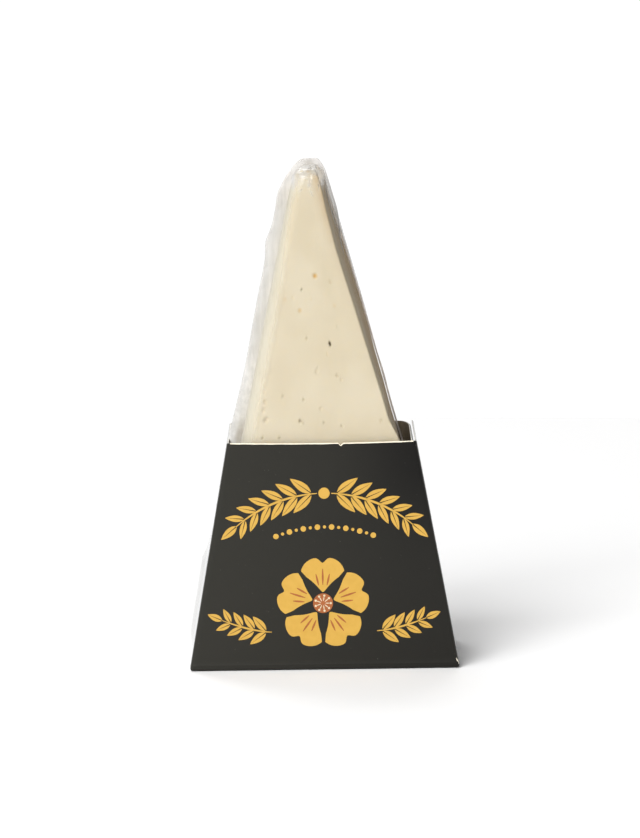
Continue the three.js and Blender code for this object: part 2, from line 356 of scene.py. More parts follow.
def ripples(points, size, seed):
    """Soft noise from -1 to 1 for each point, with waves about size millimetres long."""
    shift = Vector((seed * 17.3, seed * -9.1, seed * 5.7))
    flat = np.asarray(points, float).reshape(-1, 3) / size
    return np.array([noise.noise(Vector(p) + shift) for p in flat]).reshape(np.shape(points)[:-1])


def make_piece(name, points, faces, finishes, face_finish=None, values=None, sharp=None):
    """A mesh from points in millimetres, with a finish for each face and named values for each point."""
    mesh = bpy.data.meshes.new(name)
    faces = [list(map(int, face)) for face in faces]
    mesh.from_pydata((np.asarray(points, float) * MM).tolist(), [], faces)
    for finish in finishes:
        mesh.materials.append(finish)
    if face_finish is not None:
        mesh.polygons.foreach_set("material_index", np.asarray(face_finish, np.int32))
    mesh.polygons.foreach_set("use_smooth", np.ones(len(mesh.polygons), bool))
    if sharp:
        mesh.set_sharp_from_angle(angle=math.radians(sharp))
    for key, amounts in (values or {}).items():
        layer = mesh.attributes.new(key, "FLOAT", "POINT")
        layer.data.foreach_set("value", np.asarray(amounts, np.float32))
    mesh.validate()
    piece = bpy.data.objects.new(name, mesh)
    bpy.context.scene.collection.objects.link(piece)
    return piece


def grid_faces(index, closed=False):
    """Quads over a grid of point numbers, facing out where rows rise and columns run counter-clockwise."""
    grid = np.concatenate([index, index[:, :1]], axis=1) if closed else index
    corners = grid[:-1, :-1], grid[:-1, 1:], grid[1:, 1:], grid[1:, :-1]
    return np.stack(corners, axis=-1).reshape(-1, 4).tolist()


def grid_normals(points):
    """Outward directions over a stack of closed rings."""
    around = np.roll(points, -1, axis=1) - np.roll(points, 1, axis=1)
    upward = np.gradient(points, axis=0)
    normal = np.cross(around, upward)
    return normal / np.maximum(np.linalg.norm(normal, axis=-1, keepdims=True), 1e-9)


def closed_stack(points):
    """All points and faces of a body through a stack of rings, its ends closed by fans."""
    levels, count = points.shape[:2]
    index = np.arange(levels * count).reshape(levels, count)
    faces = grid_faces(index, closed=True)
    foot, head = levels * count, levels * count + 1
    for k in range(count):
        after = (k + 1) % count
        faces.append([foot, index[0, after], index[0, k]])
        faces.append([head, index[-1, k], index[-1, after]])
    ends = [points[0].mean(axis=0), points[-1].mean(axis=0)]
    return np.concatenate([points.reshape(-1, 3), ends]), faces


# ---- The card sleeve ----


def half_width(z):
    """From the middle to the outer face of a side panel at height z."""
    lost = (SLEEVE.base_width - SLEEVE.mouth_width) * np.asarray(z) / SLEEVE.height
    return (SLEEVE.base_width - lost) / 2


def bulge(y, z):
    """How far the left side panel stands out at depth y and height z."""
    lower = (1 - BULGE.small) * (1 - smoothstep(z, *BULGE.buckle))
    upper = BULGE.small * (1 - smoothstep(z, *BULGE.fade))
    share = np.clip((y + HALF_DEPTH) / (2 * HALF_DEPTH), 0, 1)
    bow = np.sin(np.pi * share**BULGE.lean)
    return BULGE.reach * smoothstep(z, *BULGE.rise) * (lower + upper) * bow


def flap_gap(z):
    """The space between the side panel and the flap under it, nearly closed where they are glued."""
    return OVERLAP.glued + (OVERLAP.gap - OVERLAP.glued) * smoothstep(z, *OVERLAP.opening)


def flap_face(z):
    return half_width(z) - SLEEVE.card - flap_gap(z)


def straight(start, end, shares):
    """Stations of a straight run: points, and the direction into the sleeve, which is to the right."""
    start, end = np.array(start, float), np.array(end, float)
    along = (end - start) / np.linalg.norm(end - start)
    points = start + np.outer(shares, end - start)
    return np.hstack([points, np.tile([along[1], -along[0]], (len(points), 1))])


def turn(centre, radius, start, end, steps=6):
    """Stations of a rounded fold about its centre, with one radius or a pair of them."""
    angles = np.radians(np.linspace(start, end, steps + 1))
    out = np.stack([np.cos(angles), np.sin(angles)], axis=1)
    return np.hstack([np.array(centre) + np.array(radius) * out, -out])


def front_shares():
    """Stations across the front panel, with some at the nick."""
    run = half_width(SLEEVE.height) - SLEEVE.fold
    nick = [(run - x) / (2 * run) for x in NICK.x + NICK.half_width * np.array([-1, -0.5, 0, 0.5, 1])]
    return np.array(sorted([*np.linspace(0, 1, 61)[1:-1], *nick]))


def wall_stations(z):
    """The board's outer face at height z, clockwise from the side panel's free edge round to the flap's."""
    half, flap, r = half_width(z), flap_face(z), SLEEVE.fold
    soft, deep = OVERLAP.corner, OVERLAP.corner_depth
    end = HALF_DEPTH
    sides = np.linspace(0, 1, 29)[1:-1]
    runs = [
        straight((half, end), (half, r - end), np.linspace(0, 1, 29)[:-1]),
        turn((half - r, r - end), r, 0, -90),
        straight((half - r, -end), (r - half, -end), front_shares()),
        turn((r - half, r - end), r, 270, 180),
        straight((-half, r - end), (-half, end - r), sides),
        turn((r - half, end - r), r, 180, 90),
        straight((r - half, end), (flap - soft, end), sides),
        turn((flap - soft, end - deep), (soft, deep), 90, 0, 14),
        straight((flap, end - deep), (flap, OVERLAP.front_end), np.linspace(0, 1, 17)[1:]),
    ]
    stations = np.vstack(runs)
    left = stations[:, 0] < -half / 2
    stations[left, 0] -= bulge(stations[left, 1], z)
    return stations


def wall_point(z, inset, drop=0):
    """A ring of the wall at height z, set in from the outer face and lowered by drop."""
    stations = wall_stations(z)
    flat = stations[:, :2] + stations[:, 2:] * np.asarray(inset).reshape(-1, 1)
    return np.column_stack([flat, np.full(len(flat), float(z)) - drop])


def sleeve_walls():
    """One strip of board bent round the pack: its outer and inner face, cut edges and rounded foot."""
    card, fold, top = SLEEVE.card, SLEEVE.fold, SLEEVE.height
    station = wall_stations(top)
    in_front = station[:, 1] <= 1e-6 - HALF_DEPTH
    notch = NICK.depth * np.clip(1 - abs(station[:, 0] - NICK.x) / NICK.half_width, 0, 1)
    cut = np.where(in_front, notch, 0)
    ragged = CUT.ragged * ripples(wall_point(top, 0), 1.5, 3)
    cut = cut - CUT.raised * np.where(in_front, (2 * station[:, 0] / SLEEVE.mouth_width) ** 2, 1)
    turns = np.radians(np.linspace(0, 90, 7))
    crease = [CREASE.z + k * CREASE.width for k in (-1, -0.5, 0, 0.5, 1)]
    heights = [*crease, 2.5, *range(4, 28, 2), *range(28, 50, 3)]
    outer, inner = (
        [wall_point(fold - radius * math.cos(t), fold - radius * math.sin(t)) for t in turns]
        for radius in (fold, fold - card)
    )
    for z in heights:
        proud = CREASE.proud * max(0, 1 - abs(z - CREASE.z) / CREASE.width)
        outer.append(wall_point(z, -proud))
        inner.append(wall_point(z, card))
    height = np.where(in_front, CUT.height, CUT.side_height)
    lean = np.where(in_front, CUT.lean, CUT.side_lean)
    outer.append(wall_point(top, 0, height + ragged + cut))
    outer.append(wall_point(top, lean, cut))
    inner.append(wall_point(top, card, cut))
    outer, inner = np.array(outer), np.array(inner)
    first = outer.shape[0] * outer.shape[1]
    out = np.arange(first).reshape(outer.shape[:2])
    into = first + np.arange(inner.shape[0] * inner.shape[1]).reshape(inner.shape[:2])
    coated, bare, pulp, worn = range(4)
    front_faces = in_front[:-1] & in_front[1:]
    strips = [
        (grid_faces(out[:-1, ::-1]), coated),
        (grid_faces(out[-2:, ::-1]), np.where(front_faces, pulp, coated)[::-1]),
        (grid_faces(into), bare),
        (grid_faces(np.array([into[-1], out[-1]])), np.where(front_faces, pulp, worn)),
        (grid_faces(np.array([out[0], into[0]])), bare),
        (end_strip(out[:, 0], into[:, 0]), pulp),
        (end_strip(into[:, -1], out[:, -1]), pulp),
    ]
    faces = [face for strip, _ in strips for face in strip]
    finish = np.concatenate([np.broadcast_to(number, len(strip)) for strip, number in strips])
    return np.concatenate([outer.reshape(-1, 3), inner.reshape(-1, 3)]), faces, finish


def end_strip(a, b):
    """The cut edge between two columns of points. The first has one row more or less at the top."""
    low = min(len(a), len(b)) - 1
    faces = grid_faces(np.column_stack([a[:low], b[:low]]))
    rest = [*a[low - 1:], *b[low - 1:][::-1]]
    return [*faces, rest[::-1]]


def sleeve_base():
    """The base panel that the walls fold into."""
    half = half_width(0) - SLEEVE.fold
    end = HALF_DEPTH - SLEEVE.fold
    x = np.linspace(-half, half, 13)
    y = np.linspace(-end, end, 9)
    rings = []
    for z in (0, SLEEVE.card):
        ring = [(a, -end, z) for a in x[:-1]] + [(half, b, z) for b in y[:-1]]
        ring += [(a, end, z) for a in x[::-1][:-1]] + [(-half, b, z) for b in y[::-1][:-1]]
        rings.append(ring)
    return closed_stack(np.array(rings))


def make_worn_corner(finish):
    """A short white scuff where the coating has come off the front fold's foot on the right."""
    z = np.linspace(SCUFF.foot, SCUFF.top, 9).reshape(-1, 1)
    x = half_width(z) - SCUFF.inset - SCUFF.lean * smoothstep(z, SCUFF.foot, SCUFF.top)
    width = SCUFF.width * np.sin(np.pi * np.linspace(0.06, 0.94, 9)).reshape(-1, 1)
    angles = np.linspace(0, 2 * np.pi, 8, endpoint=False)
    in_from = half_width(z) - SLEEVE.fold - x
    face = -HALF_DEPTH + SLEEVE.fold - np.sqrt(SLEEVE.fold**2 - np.minimum(in_from, 0) ** 2)
    rings = [x + width * np.cos(angles), face + SCUFF.proud * np.sin(angles), z + 0 * angles]
    rings = np.stack(rings, axis=-1)
    points, faces = closed_stack(rings)
    scuff = make_piece("worn_corner", points, faces, [finish])
    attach(scuff, "root")


def make_sleeve(finishes):
    walls, wall_faces, finish = sleeve_walls()
    base, base_faces = sleeve_base()
    faces = wall_faces + [[n + len(walls) for n in face] for face in base_faces]
    finish = np.concatenate([finish, np.zeros(len(base_faces))])
    points = np.concatenate([walls, base])
    on_side = abs(points[:, 0]) > half_width(points[:, 2]) - 0.2
    board = make_piece("sleeve_board", points, faces, finishes, finish, {"varnish": on_side}, 35)
    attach(board, "root")
    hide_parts("card_sleeve")


# ---- The wedge ----


def left_limit(z):
    above = np.maximum(z - SLEEVE.height, 0)
    return SLEEVE.card + WEDGE.clearance - half_width(z - above) - WEDGE.spread * above


def right_limit(z):
    return half_width(z) - 2 * SLEEVE.card - OVERLAP.gap - WEDGE.clearance


def half_chord(z):
    return np.sqrt(np.maximum(WEDGE.wheel_radius**2 - (WEDGE.apex_z - z) ** 2, 0))


def rounded_in(z):
    """How far the ridge's long edges have turned in at height z."""
    above = np.maximum(z - (WEDGE.ridge_top - WEDGE.ridge_radius), 0)
    return WEDGE.ridge_radius - np.sqrt(np.maximum(WEDGE.ridge_radius**2 - above**2, 0))


def left_face(z):
    cut = (WEDGE.apex_z - z) * math.tan(math.radians(WEDGE.left_cut))
    free = soft_min(cut, half_chord(z), WEDGE.turn) - WEDGE.apex_x
    return -soft_min(free, -left_limit(z), WEDGE.turn)


def right_face(z):
    cut = (WEDGE.apex_z - z) * math.tan(math.radians(WEDGE.right_cut))
    free = soft_min(cut, half_chord(z), WEDGE.turn) + WEDGE.apex_x
    return soft_min(free, right_limit(z) - WEDGE.skew * z, WEDGE.turn)


def skew_at(y, z):
    """The back of the wedge lies a little further right the higher it is."""
    return WEDGE.skew * z * (y - WEDGE.front) / (WEDGE.back - WEDGE.front)


def right_edge(y, z):
    """The right side: its swell at middle height, and the front corner's bow at the tip and the mouth."""
    swell = SIDE.swell * smoothstep(z, *SIDE.swell_rise) * (1 - smoothstep(z, *SIDE.swell_fade))
    depth = np.clip((y - WEDGE.front) / (WEDGE.back - WEDGE.front), 0, 1)
    bow = SIDE.tip_bow * smoothstep(z, *SIDE.bow_rise)
    bow = bow + SIDE.flare * (1 - smoothstep(z, *SIDE.flare_fade)) * smoothstep(z, *SIDE.flare_rise)
    slim = SIDE.slim * (1 - smoothstep(z, *SIDE.slim_fade))
    return right_face(z) + skew_at(y, z) + swell + (1 - depth) * bow - depth * slim


def rounded_rings(left, right, front, back, edges, sides, arc):
    """Outlines from above, counter-clockwise from the front left corner, a row for each height."""
    left, right, front, back = (np.asarray(v, float).reshape(-1, 1) for v in (left, right, front, back))
    most = np.minimum(right - left, back - front) / 2 - 0.001
    arcs = []
    for k, edge in enumerate(edges):
        r = np.minimum(edge, most)
        x = right - r if k in (1, 2) else left + r
        y = back - r if k > 1 else front + r
        angle = np.radians(np.linspace(180, 270, arc + 1) + 90 * k)
        arcs.append((x + r * np.cos(angle), y + r * np.sin(angle)))
    xs, ys = [], []
    for k, (x, y) in enumerate(arcs):
        following = arcs[(k + 1) % 4]
        share = np.linspace(0, 1, sides[k] + 1)[1:-1]
        xs += [x, x[:, -1:] * (1 - share) + following[0][:, :1] * share]
        ys += [y, y[:, -1:] * (1 - share) + following[1][:, :1] * share]
    return np.hstack(xs), np.hstack(ys)


def wedge_heights(step):
    """Heights from the rind to the ridge, close together where the form turns."""
    foot = WEDGE.apex_z - WEDGE.wheel_radius
    turning = WEDGE.ridge_top - WEDGE.ridge_radius
    rind = foot + WEDGE.rind * np.linspace(0.03, 1, 26) ** 2
    sides = np.arange(foot + WEDGE.rind + step, turning - step / 2, step)
    ridge = turning + WEDGE.ridge_radius * np.sin(np.radians(np.linspace(0, 86, 14)))
    return np.concatenate([rind, sides, ridge])


def wedge_rings(heights, inset, sides, arc):
    """The wedge's surface, set in by inset, as a stack of rings."""
    z = heights.reshape(-1, 1)
    turned = rounded_in(z)
    left = left_face(z) + WEDGE.ridge_turn * turned + inset
    right = right_edge(WEDGE.front, z) - WEDGE.right_turn * turned - inset
    right = np.maximum(right, left + 0.1)
    front, back = WEDGE.front + turned + inset, WEDGE.back - turned - inset
    x, y = rounded_rings(left, right, front, back, WEDGE.edges, sides, arc)
    height = np.broadcast_to(z - inset * smoothstep(z, WEDGE.lowered, WEDGE.ridge_top), x.shape)
    across = np.clip((x - left) / (right - left), 0, 1)
    shift = (right_edge(y, z) - right_edge(WEDGE.front, z)) * across + skew_at(y, z) * (1 - across)
    return np.stack([x + shift, y, height], axis=-1)


# The film at the tip: painted shade along folds, pale streaks and half shades, each with its start, end and
# radius.
TIP_FOLD_SHADES = [
    ((-1.9, -4, 111), (-0.9, -14, 111), 0.2),
    ((-0.9, -6, 111), (0.3, -14, 110.7), 0.3),
    ((-0.3, -11, 110.9), (0.4, -18.5, 109.8), 0.28),
    ((0.0, -19.3, 107.5), (0.1, -19.3, 107.1), 0.17),
    ((0.1, -19.3, 108.5), (0.25, -19.3, 108.2), 0.14),
    ((-4.0, -19.3, 106.2), (-3.6, -19.3, 106.5), 0.12),
]
TIP_PALE = [
    ((-1.9, -18.6, 110.4), (-1.9, -19.3, 107.2), 0.55),
    ((0.45, -19.2, 107.9), (0.1, -19.3, 106.4), 0.16),
    ((-1.75, -19.3, 106.0), (-1.2, -19.3, 105.1), 0.18),
    ((-4.3, -19.3, 105.8), (-3.6, -19.3, 106.5), 0.16),
    ((-6.0, -18.8, 109.3), (-5.3, -18.8, 107.2), 0.7),
]
TIP_SHADE = [
    ((0.1, -18.6, 110.6), (-0.4, -19.3, 108.2), 0.9),
    ((-1.6, -18.6, 110.6), (-1.4, -19.3, 109), 0.8),
    ((-4.5, -18.4, 110.9), (-4.7, -19.3, 108.6), 1),
]


def along_lines(points, lines):
    """How near each point lies to one of the lines: one on it, fading out over its radius."""
    nearness = np.zeros(points.shape[:-1])
    for start, end, radius in lines:
        start, end = np.array(start, float), np.array(end, float)
        share = np.clip((points - start) @ (end - start) / ((end - start) @ (end - start)), 0, 1)
        away = np.linalg.norm(points - start - share[..., None] * (end - start), axis=-1) / radius
        nearness = np.maximum(nearness, np.exp(-(away**2)))
    return nearness


# Marks on the front, listed one by one: x, z, radius, depth, share of almond skin, share of painted shade in
# the pit.
FRONT_MARKS = [
    (-1, 87.35, 0.46, 0.12, 1.1, 0),
    (-4.45, 79.75, 0.42, 0.08, 0.6, 0),
    (2.02, 72.55, 0.19, 0.5, 0, 1.9),
    (2.18, 72.15, 0.19, 0.5, 0, 1.9),
    (-6.65, 91.05, 0.2, 0.15, 0.2, 0.35),
    (-3.95, 84.45, 0.18, 0.2, 0, 0.5),
    (-7.65, 82.25, 0.35, 0.1, 0.3, 0),
    (-5.95, 82.55, 0.3, 0.1, 0.25, 0),
    (-11.95, 82.75, 0.16, 0.15, 0, 0.4),
    (3.25, 80.65, 0.32, 0.05, 0.3, 0),
    (2.45, 86.05, 0.35, 0.12, 0.15, 0),
    (3.75, 76.15, 0.14, 0.2, 0, 0.5),
    (1.55, 70.15, 0.22, 0.1, 0.2, 0),
    (-8.45, 60.95, 0.2, 0.25, 0, 0.45),
    (-0.95, 66.15, 0.3, 0.22, 0.1, 0.1),
    (-0.65, 66.95, 0.22, 0.18, 0.1, 0.1),
    (-4.65, 55.25, 0.3, 0.35, 0.1, 0.3),
    (-4.05, 54.95, 0.22, 0.25, 0.1, 0.2),
    (0.55, 54.95, 0.2, 0.25, 0, 0.45),
    (13.15, 55.05, 0.26, 0.25, 0.1, 0.2),
    (-13.05, 51.55, 0.2, 0.25, 0, 0.4),
    (-12.25, 55.55, 0.45, 0.35, 0.1, 0),
    (-12.75, 57.75, 0.4, 0.25, 0.1, 0),
    (-0.05, 57.95, 0.3, 0.2, 0.1, 0),
    (-2.95, 73.6, 0.22, 0.2, 0.1, 0.2),
    (3.6, 65.2, 0.3, 0.2, 0.15, 0.1),
    (4.5, 64.3, 0.25, 0.2, 0.1, 0.1),
    (-3.85, 60.1, 0.22, 0.25, 0.1, 0.25),
    (-11.45, 77, 0.3, 0.15, 0.2, 0),
    (-13.2, 64.5, 0.35, 0.2, 0.2, 0),
    (-12.6, 61.8, 0.3, 0.2, 0.2, 0.1),
    (-12.4, 59.6, 0.35, 0.2, 0.2, 0),
    (-9.3, 51.6, 0.2, 0.2, 0, 0.4),
    (4.5, 54, 0.25, 0.2, 0.2, 0.1),
    (-10.9, 66.6, 0.18, 0.15, 0, 0.2),
]
MARK_DEPTH, MARK_SHADE = 1.5, 1.5
# The front is painted darker by its right edge, as shade, the more so the higher: shares and the heights where
# they set in.
EDGE_SHADE = [(0.16, 50, 90), (0.15, 80, 86), (0.6, 90, 106)]
EDGE_WIDTH = 3.2
LOW_SHADE = 0.05


def spot_near(points, centre, radius):
    """One at the centre of a spot, fading out round it."""
    away = np.linalg.norm(points - centre, axis=-1) / radius
    return np.exp(-(away**2)) * (away < 3)


def faces_right(normals):
    return smoothstep(normals[..., 0], 0.4, 0.8)


def make_cheese(finish):
    rings = wedge_rings(wedge_heights(0.4), FILM_GAP, (150, 58, 58, 54), 8)
    normals = grid_normals(rings)
    depth = CHEESE.swell * (0.5 + 0.5 * ripples(rings, CHEESE.swell_size, 1))
    depth += CHEESE.grain * (0.5 + 0.5 * ripples(rings, CHEESE.grain_size, 2))
    almond, hollow = np.zeros(depth.shape), np.zeros(depth.shape)
    front = WEDGE.front + FILM_GAP
    for x, z, radius, pit, skin, dark in FRONT_MARKS:
        spot = spot_near(rings, np.array([x, front, z]), radius)
        depth += MARK_DEPTH * pit * spot
        almond += skin * spot
        hollow += MARK_SHADE * dark * spot
    draw = np.random.default_rng(CHEESE.seed)
    flat = rings.reshape(-1, 3)
    elsewhere = np.flatnonzero((flat[:, 1] > front + 1) | (flat[:, 2] < SLEEVE.height))
    marks = CHEESE.pits + CHEESE.speckles
    for number in draw.choice(elsewhere, marks, replace=False):
        spot = spot_near(rings, flat[number], draw.uniform(*CHEESE.radius))
        # Pits are sunk and get painted shade; the other marks are flecks of almond skin.
        if draw.random() < CHEESE.pits / marks:
            depth += draw.uniform(*CHEESE.depth) * spot
            hollow += draw.uniform(*CHEESE.dark) * spot
        else:
            almond += draw.uniform(*CHEESE.skin) * spot
    rings = rings - normals * depth[..., None]
    points, faces = closed_stack(rings)
    x, y, z = rings[..., 0], rings[..., 1], rings[..., 2]
    right = faces_right(normals)
    by_edge = (1 - smoothstep(right_edge(y, z) - x, 0, EDGE_WIDTH)) * (y < WEDGE.front + 1)
    # Painted shade on the right face, which is turned from the lamps, deepening towards the back.
    dry = right * smoothstep(y, WEDGE.front - 4, 4)
    dry += by_edge * sum(share * smoothstep(z, low, high) for share, low, high in EDGE_SHADE)
    # More painted shade low on the right face.
    hollow += LOW_SHADE * right * (1 - smoothstep(z, 60, 90))
    values = {"almond": almond, "hollow": hollow, "dry": dry}
    values = {key: [*amounts.ravel(), 0, 0] for key, amounts in values.items()}
    cheese = make_piece("cheese_wedge", points, faces, [finish], values=values)
    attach(cheese, "root")
    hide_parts("wrapped_wedge")


# ---- The film ----


def pleat_y(z):
    """How deep the pleat down the right side lies at height z."""
    low = (PLEAT.low_y - PLEAT.y) * (1 - smoothstep(z, *PLEAT.low_turn))
    return PLEAT.y + low + (PLEAT.high_y - PLEAT.y) * smoothstep(z, *PLEAT.high_turn)


def pouch_values(rings, normals):
    """How milky, glossy and warm in colour the film is, and where light and shade are painted on it: bright,
    crest grey and fold dark.
    """
    x, y, z = rings[..., 0], rings[..., 1], rings[..., 2]
    pale, fold, half_shade = (along_lines(rings, lines) for lines in (TIP_PALE, TIP_FOLD_SHADES, TIP_SHADE))
    upper = smoothstep(z, *HAZE.upper)
    right, high_right = faces_right(normals) * (1 - upper), faces_right(normals) * upper
    by_corner = 1 - smoothstep(y - WEDGE.front, *HAZE.corner_end)
    corner = HAZE.corner_low + (HAZE.corner_high - HAZE.corner_low) * smoothstep(z, *HAZE.corner_turn)
    from_left = (x - left_face(z) - skew_at(y, z)) / corner
    left = (1 - smoothstep(from_left, 0.1, 1)) * (HAZE.side + (HAZE.edge - HAZE.side) * by_corner)
    patch = 0.5 + 0.5 * ripples(rings, HAZE.patch_size, 11)
    behind = HAZE.behind * smoothstep(y - pleat_y(z), 8, 10)
    shade = 0.6 * right * np.exp(-(((y - pleat_y(z) - PLEAT.shade_from) / PLEAT.shade_width) ** 2))
    haze = HAZE.tight + left + right * behind
    haze = haze + 0.3 * smoothstep(z, *HAZE.patch_rise) * smoothstep(patch, 0.45, 0.75) * (1 - right)
    cover = np.maximum(smoothstep(z + 3.2 * (patch - 0.5), *HAZE.tip), smoothstep(z, *HAZE.crest))
    for other in (HAZE.edge * cover, 0.75 * high_right, shade, 0.5 * pale, 0.9 * fold):
        haze = np.maximum(haze, other)
    # fold carries painted shade: dark along the tip's folds, behind the pleat and in the half shades.
    fold = np.maximum(np.maximum(fold, 0.8 * shade), 0.3 * half_shade * (1 - high_right))
    warmth = np.maximum((1 - smoothstep(z, 106, 109)) * (1 - right) * (1 - pale), high_right)
    gloss = (1 - 0.94 * right) * (1 - 0.7 * left)
    # crest paints shade: a greyer milk on the top of the film and along the pale streaks.
    crest = np.maximum(smoothstep(z, *HAZE.tip), pale) * (1 - high_right)
    parts = {"haze": haze, "gloss": gloss, "warmth": warmth}
    return {**parts, "bright": high_right, "crest": crest, "fold": fold}


# What the film's values are at the middle of the pouch's foot and of its top.
POUCH_ENDS = Named(haze=(0, 0.8), gloss=(1, 1), warmth=(1, 0), bright=(0, 0), crest=(0, 1), fold=(0, 0))


def over_the_top(ring):
    """Rings that go on from the ridge's last one to the middle of its top."""
    depth = ring[:, 1]
    share = (depth - depth.min()) / np.ptp(depth)
    front, back = ring[share < 0.02, 0].mean(), ring[share > 0.98, 0].mean()
    middle = np.column_stack([front + (back - front) * share, ring[:, 1:]])
    return np.array([ring + (middle - ring) * step for step in (0.2, 0.4, 0.6, 0.8)])


def make_pouch(finish):
    rings = wedge_rings(wedge_heights(0.42), 0, (90, 100, 40, 90), 8)
    rings = np.concatenate([rings, over_the_top(rings[-1])])
    normals = grid_normals(rings)
    coarse = CRUMPLE.coarse * abs(ripples(rings, CRUMPLE.coarse_size, 22))
    fine = CRUMPLE.fine * abs(ripples(rings, CRUMPLE.fine_size, 23))
    sunk = CRUMPLE.slack * (0.5 + 0.5 * ripples(rings, CRUMPLE.slack_size, 21))
    sunk += smoothstep(rings[..., 2], *CRUMPLE.rise) * (coarse + fine)
    points, faces = closed_stack(rings - normals * sunk[..., None])
    values = pouch_values(rings, normals)
    values = {key: [*amounts.ravel(), *getattr(POUCH_ENDS, key)] for key, amounts in values.items()}
    pouch = make_piece("film_pouch", points, faces, [finish], values=values)
    pouch.visible_shadow = False
    pouch.visible_diffuse = False
    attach(pouch, "root")
    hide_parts("wrapped_wedge")


def make_sheet(name, middle, finish, values):
    """A thin sheet of film about a grid of points, with two sides and a rim."""
    rows, columns = middle.shape[:2]
    count = rows * columns
    near = np.arange(count).reshape(rows, columns)
    loop = [*near[0, :-1], *near[:-1, -1], *near[-1, :0:-1], *near[:0:-1, 0], near[0, 0]]
    faces = grid_faces(near[:, ::-1]) + grid_faces(near + count)
    faces += grid_faces(np.array([loop, [n + count for n in loop]]))
    half = np.array([0, SEAM.film / 2, 0])
    points = np.concatenate([middle - half, middle + half]).reshape(-1, 3)
    spread = {key: np.broadcast_to(amounts, near.shape) for key, amounts in values.items()}
    values = {key: np.tile(amounts.ravel(), 2) for key, amounts in spread.items()}
    return make_piece(name, points, faces, [finish], values=values)


def make_pleat(finish):
    """A narrow pleat of doubled film that stands up along the right side."""
    z = np.arange(PLEAT.foot, PLEAT.top, PLEAT.step)
    y = pleat_y(z) + PLEAT.sway * np.sin(z / 5)
    ends = smoothstep(z - PLEAT.foot, 0, PLEAT.end) * (1 - smoothstep(z - PLEAT.top, -PLEAT.end, 0))
    room = np.clip(right_limit(z) - right_edge(y, z), 0.05, 1)
    uneven = 0.85 + 0.5 * ripples(np.column_stack([z * 0, y, z]), 6, 41)
    proud = np.minimum(PLEAT.proud * uneven * ends, room).reshape(-1, 1)
    across = np.array([-0.15, 0, 0.5, 1])
    x = right_edge(y, z).reshape(-1, 1) + np.where(across < 0, across, across * proud)
    middle = np.stack(np.broadcast_arrays(x, y[:, None], z[:, None]), axis=-1)
    # bright paints a highlight along the pleat.
    values = {"haze": 0.95, "gloss": 0.475, "warmth": 0, "bright": 1}
    pleat = make_sheet("film_pleat", middle, finish, values)
    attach(pleat, "root")
    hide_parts("wrapped_wedge")


def seam_y(z):
    """How deep the seam lies at height z: at its foot it is bent forward into the sleeve."""
    return SEAM.y + (SEAM.low_y - SEAM.y) * (1 - smoothstep(z, *SEAM.turn))


def seam_left(z):
    """The seam's left edge at height z."""
    grown = smoothstep(z, SEAM.foot, 2 * SEAM.foot)
    bumps = sum(b.reach * np.exp(-(((z - b.z) / b.spread) ** 2)) for b in SEAM_BUMPS)
    face = left_face(z) + skew_at(seam_y(z), z)
    return -soft_min(SEAM.left_reach * grown + bumps - face, SEAM.slack - left_limit(z), 0.3)


def seam_right(z):
    return right_face(z) + skew_at(SEAM.y, z) + SEAM.right_reach * smoothstep(z, *SEAM.right_rise)


def seam_shoulder(x, z, crest_x, steps):
    """The rounded way from an edge's end up to the crest."""
    angle = np.radians(np.linspace(0, 90, steps + 1)[1:])
    across = (1 - np.cos(angle)) ** SEAM.crest_turn
    return np.column_stack([x + (crest_x - x) * across, z + (SEAM.crest_z - z) * np.sin(angle)])


def seam_edge():
    """The seam's outer edge in x and z: up the left, over the tip and down the right."""
    up = np.linspace(SEAM.foot, SEAM.left_shoulder, 190)
    down = np.linspace(SEAM.right_rise[0], SEAM.right_shoulder, 40)
    left, right = np.column_stack([seam_left(up), up]), np.column_stack([seam_right(down), down])
    over = seam_shoulder(*left[-1], SEAM.crest_left, 24)
    back = seam_shoulder(*right[-1], SEAM.crest_right, 24)[::-1]
    crest = np.linspace(over[-1], back[0], 10)[1:-1]
    return np.vstack([left, over, crest, back, right[::-1]])


